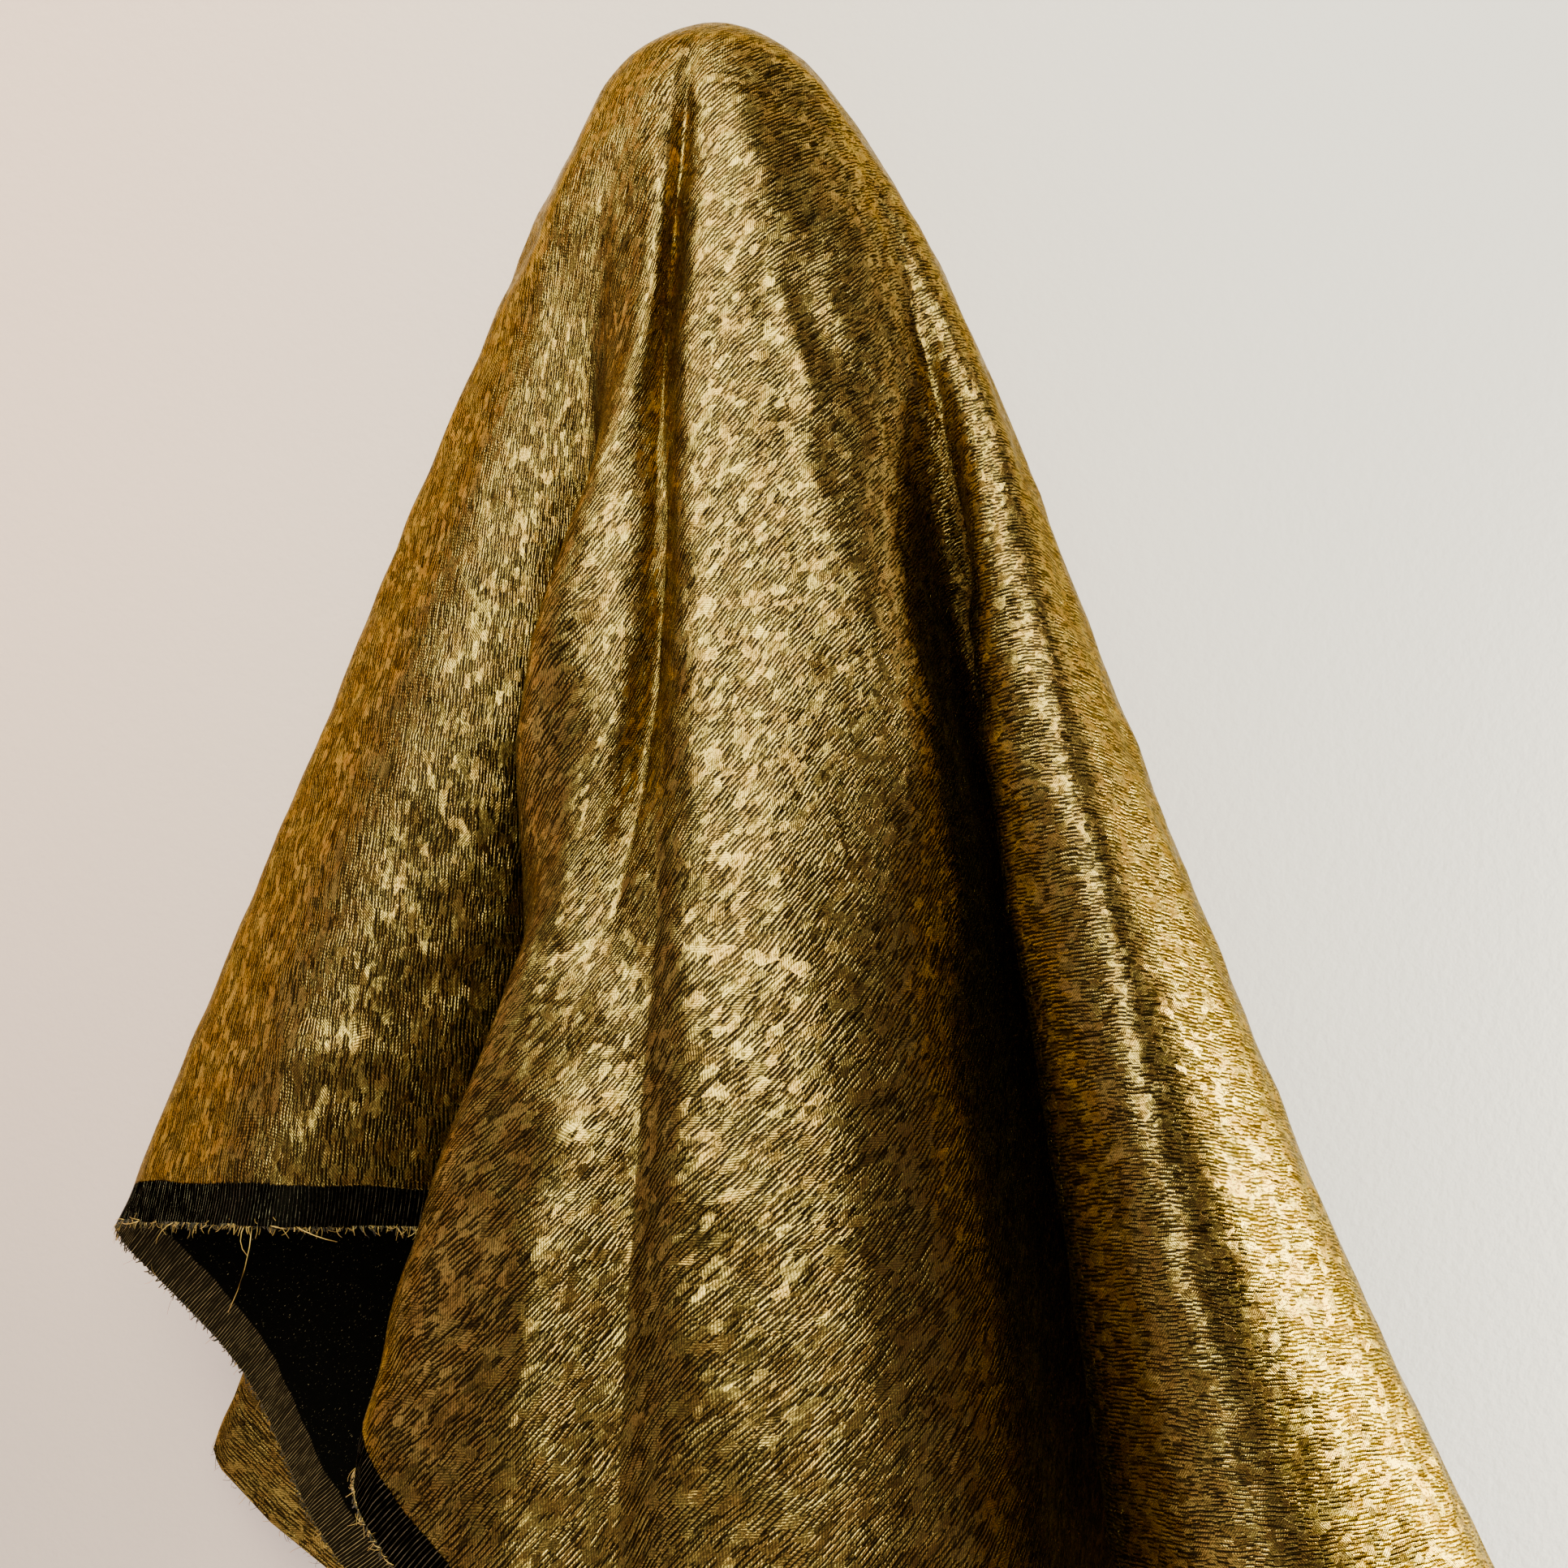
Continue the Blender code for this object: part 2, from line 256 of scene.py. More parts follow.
@dataclass(frozen=True)
class Drape:
    """The shape in which the cloth hangs, with the levels that the fold table refers to."""

    flat: FlatCloth = FlatCloth()
    rim_radius: float = 0.032
    drops: tuple[float, ...] = (0.0, 0.013, 0.058, 0.130, 0.270, 0.430, 0.700)
    lengths: tuple[float, ...] = (0.0, 0.0345, 0.0849, 0.1603, 0.3047, 0.4707, 0.7462)
    crown_roundness: float = 1.25
    hem_flare_kept: float = 0.6
    samples: int = 500

    @staticmethod
    def column(name: str) -> Array:
        """One named column of the fold table."""
        return np.array([getattr(fold, name) for fold in FOLDS], float)

    @staticmethod
    def turned(knots: Array, degrees: Array) -> Array:
        """The same directions, moved by whole turns to lie at or after the first knot."""
        return (degrees - knots[0]) % 360 + knots[0]

    def closed_ring(self, knots: Array, points: Array, degrees: Array) -> Array:
        """A closed ring that passes through one point of each fold line.

        The ring is a polygon whose corners are rounded by parabolas, as wide as the softness says: away from a
        corner by less than its reach, the ring leaves the polygon by (reach - away) squared over four times the
        reach, times the change of slope. The corners are solved so that the rounded ring meets the points.

        Args:
            knots: direction of each fold line.
            points: its place (x, y).
            degrees: directions to work out.

        Returns:
            One place (x, y) for each direction.
        """
        after = np.diff(np.append(knots, knots[0] + 360))
        before = np.roll(after, 1)
        reach = 0.5 * self.column("softness") * np.minimum(after, before)
        index = np.arange(len(knots))
        weights = np.zeros((len(knots), len(knots)))
        weights[index, index] = 1 - reach / 4 * (1 / after + 1 / before)
        weights[index, (index + 1) % len(knots)] = reach / 4 / after
        weights[index, (index - 1) % len(knots)] = reach / 4 / before
        corners = np.linalg.solve(weights, points)
        loop = np.concatenate([corners, corners[:1]])
        ends, turned = np.append(knots, knots[0] + 360), self.turned(knots, degrees)
        straight = np.stack([np.interp(turned, ends, loop[:, axis]) for axis in range(2)], axis=-1)
        slope = (np.roll(corners, -1, axis=0) - corners) / after[:, None]
        away = np.abs((turned[:, None] - knots + 180) % 360 - 180)
        rounding = np.maximum(reach - away, 0) ** 2 / (4 * reach)
        return straight + rounding @ (slope - np.roll(slope, 1, axis=0))

    def crown_rim(self, degrees: Array) -> Array:
        """The crown's rim: a circle on which each fold line leaves at its own bearing."""
        knots, bearings = self.column("top_deg"), self.column("crown_deg")
        ends = np.append(knots, knots[0] + 360)
        turned = self.turned(knots, degrees)
        bearing = np.radians(np.interp(turned, ends, np.append(bearings, bearings[0] + 360)))
        return -self.rim_radius * np.stack([np.cos(bearing), np.sin(bearing)], axis=-1)

    def stations(self, degrees: Array) -> Array:
        """Where each direction of the cloth passes the crown, the rim and each level below, to the hem."""
        drops = self.drops
        share = (drops[4] - drops[3]) / (drops[5] - drops[3])
        top, below = self.column("top_deg"), self.column("flat_deg")
        upper, lower = self.column("upper") * MM, self.column("lower") * MM
        middle = upper + share * (lower - upper) + self.column("bend") * MM
        level = [
            np.zeros((len(degrees), 2)),
            self.crown_rim(degrees),
            self.closed_ring(top, self.column("shoulder") * MM, degrees),
            self.closed_ring(top, upper, degrees),
            self.closed_ring(top + share * (below - top), middle, degrees),
            self.closed_ring(below, lower, degrees),
            self.closed_ring(below, self.column("hem") * MM, degrees),
        ]
        return np.stack([np.column_stack([xy, np.full(len(xy), -drop)]) for xy, drop in zip(level, drops)])

    def hanging_lines(self, degrees: Array) -> tuple[Array, Array]:
        """Smooth lines down the cloth, as Hermite curves through the stations.

        Args:
            degrees: directions on the flat cloth.

        Returns:
            The lines' points, a row for each sample and a column for each direction, and the length of cloth
            down to each of them.
        """
        points, at = self.stations(degrees), np.array(self.lengths)
        span = np.diff(at)
        slope = np.diff(points, axis=0) / span[:, None, None]
        after, before = span[1:, None, None], span[:-1, None, None]
        tangent = np.empty_like(points)
        tangent[1:-1] = (after * slope[:-1] + before * slope[1:]) / (after + before)
        tangent[0] = slope[0] * np.array([self.crown_roundness, self.crown_roundness, 0.0])
        tangent[-1] = slope[-1] * np.array([self.hem_flare_kept, self.hem_flare_kept, 1.0])
        along = np.linspace(0.0, at[-1] + span[-1] / 2, self.samples)
        piece = np.clip(np.searchsorted(at, along, side="right") - 1, 0, len(span) - 1)
        share = np.minimum((along - at[piece]) / span[piece], 1.0)[:, None, None]
        width = span[piece][:, None, None]
        line = (
            (2 * share**3 - 3 * share**2 + 1) * points[piece]
            + (share**3 - 2 * share**2 + share) * width * tangent[piece]
            + (3 * share**2 - 2 * share**3) * points[piece + 1]
            + (share**3 - share**2) * width * tangent[piece + 1]
        )
        line += np.maximum(along - at[-1], 0.0)[:, None, None] * tangent[-1]
        step = np.linalg.norm(np.diff(line, axis=0), axis=2)
        return line, np.concatenate([np.zeros((1, len(degrees))), np.cumsum(step, axis=0)])

    def surface(self, degrees: Array, reach: Array) -> Array:
        """Places of the cloth in the room.

        Each column's lengths are moved up by a whole step past the column before, so that one interpolation
        serves all columns.

        Args:
            degrees: the direction of each column.
            reach: lengths of cloth from the hang point, with a column for each direction.

        Returns:
            A point (x, y, z) for each length.
        """
        line, length = self.hanging_lines(degrees)
        step = (length.max() + 1.0) * np.arange(len(degrees))
        known = (length + step).T.ravel()
        return np.stack([np.interp(reach + step, known, line[:, :, axis].T.ravel()) for axis in range(3)], axis=-1)

    def place(self, across: Array, along: Array) -> Array:
        """The point in the room of each flat place (u, v), for two plain lists of coordinates."""
        degrees = np.degrees(np.arctan2(along, across))
        return self.surface(degrees, np.hypot(across, along)[None])[0]


@dataclass(frozen=True)
class Crinkle:
    """Low relief of the hung cloth: a field of soft waves, and the few creases that stand out."""

    waves: int = 70
    longest: float = 0.046
    shortest: float = 0.015
    height: float = 0.00008
    flat_crown: float = 0.05
    seed: int = 11

    def soft_waves(self, across: Array, along: Array) -> Array:
        """Sum of cosine waves of random direction and phase, each as high as its wavelength allows."""
        draw = np.random.default_rng(self.seed)
        length = np.exp(draw.uniform(math.log(self.shortest), math.log(self.longest), self.waves))
        turn = draw.uniform(0, math.pi, self.waves)
        phase = draw.uniform(0, 2 * math.pi, self.waves)
        total = np.zeros_like(across)
        for wave, direction, start in zip(length, turn, phase):
            path = across * math.cos(direction) + along * math.sin(direction)
            total += wave / self.longest * np.cos(2 * math.pi * path / wave + start)
        return self.height * total

    @staticmethod
    def crease_height(across: Array, along: Array) -> Array:
        """Each crease as a bell across its line that fades towards its two ends."""
        total = np.zeros_like(across)
        for crease in CREASES:
            start, end = np.array(crease.start) * MM, np.array(crease.end) * MM
            length = np.linalg.norm(end - start)
            direction = (end - start) / length
            away = np.stack([across - start[0], along - start[1]], axis=-1)
            share = away @ direction / length
            off = away @ np.array([-direction[1], direction[0]])
            fade = np.clip(4 * share * (1 - share), 0, 1)
            total += crease.height * MM * fade * np.exp(-((off / (crease.width * MM)) ** 2))
        return total

    def lift(self, across: Array, along: Array) -> Array:
        """How far each place stands out of the smooth drape, in metres, less and less towards the crown."""
        near = np.clip(np.hypot(across, along) / self.flat_crown, 0, 1)
        return near * (self.soft_waves(across, along) + self.crease_height(across, along))


class Nodes:
    """A material's nodes, added and joined with short calls."""

    def __init__(self, name: str) -> None:
        """Start a material with nothing but its output."""
        self.material = bpy.data.materials.new(name)
        self.material.use_nodes = True
        self.tree = self.material.node_tree
        self.tree.nodes.clear()
        self.output = self.tree.nodes.new("ShaderNodeOutputMaterial")

    def put(self, socket: bpy.types.NodeSocket, value: Value) -> None:
        """Link a socket to another, or set its value."""
        if isinstance(value, bpy.types.NodeSocket):
            self.tree.links.new(value, socket)
        elif isinstance(value, tuple) and len(value) == 3 and socket.type == "RGBA":
            socket.default_value = (*value, 1.0)
        else:
            socket.default_value = value

    def node(self, kind: str, inputs: dict[str | int, Value], **settings: object) -> bpy.types.Node:
        """Add a node.

        Args:
            kind: the node's type without "ShaderNode".
            inputs: value or link of each socket, by its name or number.
            settings: the node's own properties.

        Returns:
            The node.
        """
        made = self.tree.nodes.new("ShaderNode" + kind)
        for key, value in settings.items():
            setattr(made, key, value)
        for key, value in inputs.items():
            self.put(made.inputs[key], value)
        return made

    def maths(self, operation: str, first: Value, second: Value = 0.0) -> bpy.types.NodeSocket:
        """One operation on two numbers."""
        return self.node("Math", {0: first, 1: second}, operation=operation).outputs[0]

    def vectors(self, operation: str, first: Value, second: Value) -> bpy.types.NodeSocket:
        """One operation on two vectors."""
        return self.node("VectorMath", {0: first, 1: second}, operation=operation).outputs[0]

    def scaled(self, vector: Value, by: tuple[float, float, float]) -> bpy.types.NodeSocket:
        """A vector with each part multiplied."""
        return self.vectors("MULTIPLY", vector, by)

    def part(self, vector: Value, axis: int) -> bpy.types.NodeSocket:
        """One part of a vector."""
        return self.node("SeparateXYZ", {0: vector}).outputs[axis]

    def random_blocks(self, vector: Value) -> bpy.types.Node:
        """Roughly rectangular cells one unit wide, each with a random colour."""
        inputs = {"Vector": vector, "Scale": 1.0}
        return self.node("TexVoronoi", inputs, distance="CHEBYCHEV", voronoi_dimensions="2D")

    def step(
        self, value: Value, low: float, high: float, start: float = 0.0, end: float = 1.0
    ) -> bpy.types.NodeSocket:
        """A smooth step from start to end as the value goes from low to high."""
        inputs = {"Value": value, "From Min": low, "From Max": high, "To Min": start, "To Max": end}
        return self.node("MapRange", inputs, interpolation_type="SMOOTHSTEP").outputs["Result"]

    def noise(
        self, vector: Value, scale: float, detail: float = 2.0, rough: float = 0.5, over: str = "2D"
    ) -> bpy.types.NodeSocket:
        """Smooth noise, 0 to 1, over the vector's first two parts or, as "3D", over all three."""
        inputs = {"Vector": vector, "Scale": scale, "Detail": detail, "Roughness": rough}
        return self.node("TexNoise", inputs, noise_dimensions=over).outputs[0]

    def mix(self, share: Value, first: Value, second: Value) -> bpy.types.NodeSocket:
        """Two colours mixed: the first where share is 0, the second where it is 1."""
        return self.node("Mix", {0: share, 6: first, 7: second}, data_type="RGBA").outputs[2]

    def finish(self, shader: bpy.types.Node) -> bpy.types.Material:
        """Join the shader to the output and give the material."""
        self.put(self.output.inputs["Surface"], shader.outputs[0])
        return self.material


@dataclass(frozen=True)
class Weave:
    """Sizes of the weave, in millimetres, and the patterns that both faces share.

    A pair is a length along the weft and a width along the warp, except turned, which is where the random number
    of a patch turns its twill, and peak, the heights of the cosine between which a pale line shows.
    """

    twill_pitch: float = 0.75
    rib_pitch: float = 1.35
    facet: tuple[float, float] = (4.2, 2.3)
    fleck: tuple[float, float] = (2.4, 0.8)
    groove: tuple[float, float] = (11.0, 1.5)
    patch: tuple[float, float] = (10.0, 7.0)
    pucker: tuple[float, float] = (7.0, 4.5)
    turned: tuple[float, float] = (0.69, 0.71)
    stripe_pitch: float = 1.44
    peak: tuple[float, float] = (0.78, 0.98)
    wander: float = 1.6
    wander_rate: float = 0.06
    ragged: float = 1.4
    plain_height: float = 0.8
    rib_shift: float = 1.7

    def place(self, nodes: Nodes) -> bpy.types.NodeSocket:
        """The place on the flat cloth in millimetres, a little unsteady as hand-laid yarn is."""
        place = nodes.node("Attribute", {}, attribute_name=PLACE).outputs["Vector"]
        flat = nodes.scaled(place, (1 / MM, 1 / MM, 1 / MM))
        inputs = {"Vector": flat, "Scale": self.wander_rate, "Detail": 0.0}
        wander = nodes.node("TexNoise", inputs, noise_dimensions="2D").outputs[1]
        return nodes.vectors("ADD", flat, nodes.scaled(wander, (self.wander, self.wander, 0.0)))

    def patches(self, nodes: Nodes, flat: Value) -> bpy.types.NodeSocket:
        """A random number for each patch of the cloth."""
        scaled = nodes.scaled(flat, (1 / self.patch[0], 1 / self.patch[1], 0.0))
        return nodes.node("SeparateColor", {0: nodes.random_blocks(scaled).outputs["Color"]}).outputs[0]

    def facets(self, nodes: Nodes, flat: Value) -> tuple[bpy.types.Node, bpy.types.NodeSocket]:
        """Small blocks of floating yarn that each lie a little tilted.

        Args:
            nodes: the material.
            flat: the place on the cloth in millimetres.

        Returns:
            Three random numbers for each block, and its relief: the place from the block's centre, times a
            random slope between -0.5 and 0.5 each way.
        """
        scaled = nodes.scaled(flat, (1 / self.facet[0], 1 / self.facet[1], 0.0))
        block = nodes.random_blocks(scaled)
        away = nodes.scaled(nodes.vectors("SUBTRACT", scaled, block.outputs["Position"]), (*self.facet, 0.0))
        slope = nodes.vectors("SUBTRACT", block.outputs["Color"], (0.5, 0.5, 0.5))
        relief = nodes.node("VectorMath", {0: away, 1: slope}, operation="DOT_PRODUCT").outputs["Value"]
        return nodes.node("SeparateColor", {0: block.outputs["Color"]}), relief

    @staticmethod
    def streaks(nodes: Nodes, flat: Value, size: tuple[float, float], detail: float) -> bpy.types.NodeSocket:
        """Noise drawn out along the weft: size is how long and how wide its marks are."""
        return nodes.noise(nodes.scaled(flat, (1 / size[0], 1 / size[1], 1.0)), 1.0, detail, 0.6)

    def twill(self, nodes: Nodes, flat: Value, patches: Value) -> bpy.types.NodeSocket:
        """Diagonal ribs: the sine of u minus v, which turns to u plus v in some patches."""
        turn = nodes.step(patches, *self.turned, -1.0, 1.0)
        path = nodes.maths("ADD", nodes.part(flat, 0), nodes.maths("MULTIPLY", nodes.part(flat, 1), turn))
        rate = 2 * math.pi / (self.twill_pitch * math.sqrt(2))
        return nodes.maths("SINE", nodes.maths("MULTIPLY", path, rate))

    def ribs(self, nodes: Nodes, flat: Value, start: Value, ribbed: Value) -> bpy.types.NodeSocket:
        """Ribs along the weft, the sine of v with a phase of its own in each block; plain blocks stay high."""
        turns = nodes.maths("DIVIDE", nodes.part(flat, 1), self.rib_pitch)
        turn = nodes.maths("ADD", turns, nodes.maths("MULTIPLY", start, self.rib_shift))
        wave = nodes.maths("SINE", nodes.maths("MULTIPLY", turn, 2 * math.pi))
        return nodes.node("Mix", {0: ribbed, 2: self.plain_height, 3: wave}, data_type="FLOAT").outputs[0]

    def stripes(self, nodes: Nodes, flat: Value) -> bpy.types.NodeSocket:
        """The selvage's pale weft lines: a narrow peak of the cosine of v, each line as bright as noise says."""
        turn = nodes.maths("MULTIPLY", nodes.part(flat, 1), 2 * math.pi / self.stripe_pitch)
        bright = nodes.step(nodes.noise(nodes.scaled(flat, (0.12, 1.0, 0.0)), 0.9, 2.0, 0.7), 0.35, 0.75, 0.15, 1.0)
        return nodes.maths("MULTIPLY", nodes.step(nodes.maths("COSINE", turn), *self.peak), bright)

    def band(self, nodes: Nodes, flat: Value, cloth: FlatCloth) -> bpy.types.NodeSocket:
        """1 inside the selvage band and 0 on the cloth beside it, with a slightly ragged limit."""
        start = (cloth.to_selvage - cloth.selvage_width) / MM
        noise = nodes.noise(nodes.scaled(flat, (0.0, 1.0, 0.0)), 0.8, 2.0)
        moved = nodes.maths("ADD", nodes.part(flat, 0), nodes.maths("MULTIPLY", noise, self.ragged))
        return nodes.step(moved, start + 0.5, start + 1.1)


class Mark(NamedTuple):
    """Dark marks in the gold, which begin where a pattern falls to one value and are full at the next.

    depth is how much of the dark ground colour then shows, 0 to 1. Flecks, facets and grooves are darker yarn of the
    weave; the marks in the troughs of the ribs and twill are painted shade.
    """

    begin: float
    full: float
    depth: float


@dataclass(frozen=True)
class GoldFace:
    """Finish of the gold side: metal yarn over a dark ground, with relief from twill, ribs, grooves and puckers.

    Heights are in millimetres, for a pattern that goes from 0 to 1 or from -1 to 1. The troughs of the ribs and twill
    are darkened with the ground colour as painted shade.
    """

    gold: Colour = (0.50, 0.338, 0.098)
    amber: Colour = (0.43, 0.252, 0.070)
    ground: Colour = (0.016, 0.010, 0.006)
    selvage: Colour = (0.004, 0.0035, 0.003)
    stripe: Colour = (0.30, 0.25, 0.18)
    glance: Colour = (0.54, 0.48, 0.32)
    amber_rate: float = 0.11
    roughness: float = 0.23
    dulled: float = 0.14
    flecks: Mark = Mark(0.415, 0.395, 0.74)
    dark_facets: Mark = Mark(0.14, 0.12, 0.35)
    grooves: Mark = Mark(0.375, 0.355, 0.76)
    # painted shade: the ground colour laid into the troughs between the ribs and the twill lines, where shade falls
    rib_trough_painted_shade: Mark = Mark(0.05, -0.35, 0.94)
    twill_trough_painted_shade: Mark = Mark(0.2, -0.8, 0.58)
    ribbed_from: float = 0.27
    pucker_height: float = 0.22
    groove_height: float = 0.18
    fleck_height: float = 0.08
    facet_tilt: float = 0.16
    rib_height: float = 0.064
    twill_height: float = 0.012
    stripe_height: float = 0.25

    def build(self, weave: Weave, cloth: FlatCloth) -> bpy.types.Material:
        """Make the material.

        Args:
            weave: sizes of the pattern.
            cloth: the flat cloth, for the place of the selvage.

        Returns:
            The material, with its colour, roughness and relief worked out from the place on the cloth.
        """
        nodes = Nodes("gold brocade")
        flat = weave.place(nodes)
        twill, stripes = weave.twill(nodes, flat, weave.patches(nodes, flat)), weave.stripes(nodes, flat)
        band = weave.band(nodes, flat, cloth)
        flecks, grooves = weave.streaks(nodes, flat, weave.fleck, 2.5), weave.streaks(nodes, flat, weave.groove, 1.5)
        block, facets = weave.facets(nodes, flat)
        ribbed = nodes.step(block.outputs[2], self.ribbed_from, self.ribbed_from + 0.02)
        ribs = weave.ribs(nodes, flat, block.outputs[0], ribbed)
        puckers = weave.streaks(nodes, flat, weave.pucker, 2.0)

        warm = nodes.step(nodes.noise(flat, self.amber_rate, 2.0), 0.35, 0.65)
        yarn = nodes.mix(warm, self.gold, self.amber)
        marks = (
            (flecks, self.flecks), (block.outputs[1], self.dark_facets), (grooves, self.grooves),
            (ribs, self.rib_trough_painted_shade), (twill, self.twill_trough_painted_shade),
        )
        # the rib and twill trough marks are painted shade; flecks, facets and grooves are darker yarn of the weave
        for pattern, mark in marks:
            yarn = nodes.mix(nodes.step(pattern, mark.begin, mark.full, 0.0, mark.depth), yarn, self.ground)
        colour = nodes.mix(band, yarn, nodes.mix(stripes, self.selvage, self.stripe))

        relief = nodes.maths("MULTIPLY", puckers, self.pucker_height)
        heights = (
            (grooves, self.groove_height), (flecks, self.fleck_height), (ribs, self.rib_height),
            (facets, self.facet_tilt), (twill, self.twill_height),
        )
        for pattern, high in heights:
            relief = nodes.maths("ADD", relief, nodes.maths("MULTIPLY", pattern, high))
        lines = nodes.maths("MULTIPLY", stripes, self.stripe_height)
        height = nodes.node("Mix", {0: band, 2: relief, 3: lines}, data_type="FLOAT").outputs[0]
        bump = nodes.node("Bump", {"Strength": 1.0, "Distance": MM, "Height": height})
        inputs = {
            "Base Color": colour,
            "Metallic": 1.0,
            "Roughness": nodes.step(flecks, 0.55, 0.40, self.roughness, self.roughness + self.dulled),
            "Specular Tint": nodes.mix(band, self.glance, self.ground),
            "Normal": bump.outputs[0],
        }
        return nodes.finish(nodes.node("BsdfPrincipled", inputs))


@dataclass(frozen=True)
class DarkReverse:
    """Finish of the reverse: near-black yarn with sparse glints, and a selvage striped in bronze."""

    yarn: Colour = (0.0012, 0.0010, 0.0009)
    glint: Colour = (0.45, 0.36, 0.22)
    selvage: Colour = (0.010, 0.007, 0.005)
    bronze: Colour = (0.62, 0.46, 0.24)
    roughness: float = 0.82
    band_roughness: float = 0.45
    band_metal: float = 0.7
    glints_from: float = 0.74
    stripe_height: float = 0.25
    speck_height: float = 0.5

    def build(self, weave: Weave, cloth: FlatCloth) -> bpy.types.Material:
        """Make the material, from the same weave as the gold side."""
        nodes = Nodes("dark reverse")
        flat = weave.place(nodes)
        stripes, band = weave.stripes(nodes, flat), weave.band(nodes, flat, cloth)
        speck = nodes.noise(nodes.scaled(flat, (0.55, 2.4, 1.0)), 1.0, 2.0, 0.6)
        body = nodes.mix(nodes.step(speck, self.glints_from, self.glints_from + 0.04), self.yarn, self.glint)
        colour = nodes.mix(band, body, nodes.mix(stripes, self.selvage, self.bronze))
        lines = nodes.maths("MULTIPLY", stripes, self.stripe_height)
        height = nodes.maths("ADD", lines, nodes.maths("MULTIPLY", speck, self.speck_height))
        bump = nodes.node("Bump", {"Strength": 0.7, "Distance": MM, "Height": height})
        inputs = {
            "Base Color": colour,
            "Metallic": nodes.step(band, 0.0, 1.0, 0.0, self.band_metal),
            "Roughness": nodes.step(band, 0.0, 1.0, self.roughness, self.band_roughness),
            "Specular IOR Level": 0.04,
            "Normal": bump.outputs[0],
        }
        return nodes.finish(nodes.node("BsdfPrincipled", inputs))


@dataclass(frozen=True)
class ThreadFinish:
    """Finish of the frayed ends: black yarn or gold yarn, by each thread's own tint."""

    dark: Colour = (0.008, 0.007, 0.006)
    gold: Colour = (0.80, 0.52, 0.17)

    def build(self) -> bpy.types.Material:
        """Make the material."""
        nodes = Nodes("frayed thread")
        tint = nodes.node("Attribute", {}, attribute_name=TINT).outputs["Fac"]
        inputs = {
            "Base Color": nodes.mix(tint, self.dark, self.gold),
            "Metallic": nodes.maths("MULTIPLY", tint, 0.85),
            "Roughness": 0.42,
        }
        return nodes.finish(nodes.node("BsdfPrincipled", inputs))


def new_mesh(name: str, points: Array, quads: Array, triangles: Array) -> bpy.types.Object:
    """Put whole arrays of points and faces into a new object at the origin.

    Args:
        name: the object's name.
        points: a row (x, y, z) for each point.
        quads: a row of four point numbers for each quad.
        triangles: a row of three point numbers for each triangle, which follow the quads.

    Returns:
        The object, shaded smooth.
    """
    mesh = bpy.data.meshes.new(name)
    corners = np.concatenate([quads.ravel(), triangles.ravel()]).astype(np.int32)
    sizes = np.concatenate([np.full(len(quads), 4), np.full(len(triangles), 3)]).astype(np.int32)
    starts = np.concatenate([[0], np.cumsum(sizes)[:-1]]).astype(np.int32)
    mesh.vertices.add(len(points))
    mesh.vertices.foreach_set("co", points.astype(np.float32).ravel())
    mesh.loops.add(len(corners))
    mesh.loops.foreach_set("vertex_index", corners)
    mesh.polygons.add(len(sizes))
    mesh.polygons.foreach_set("loop_start", starts)
    mesh.update(calc_edges=True)
    mesh.validate()
    mesh.shade_smooth()
    made = bpy.data.objects.new(name, mesh)
    bpy.context.scene.collection.objects.link(made)
    return made


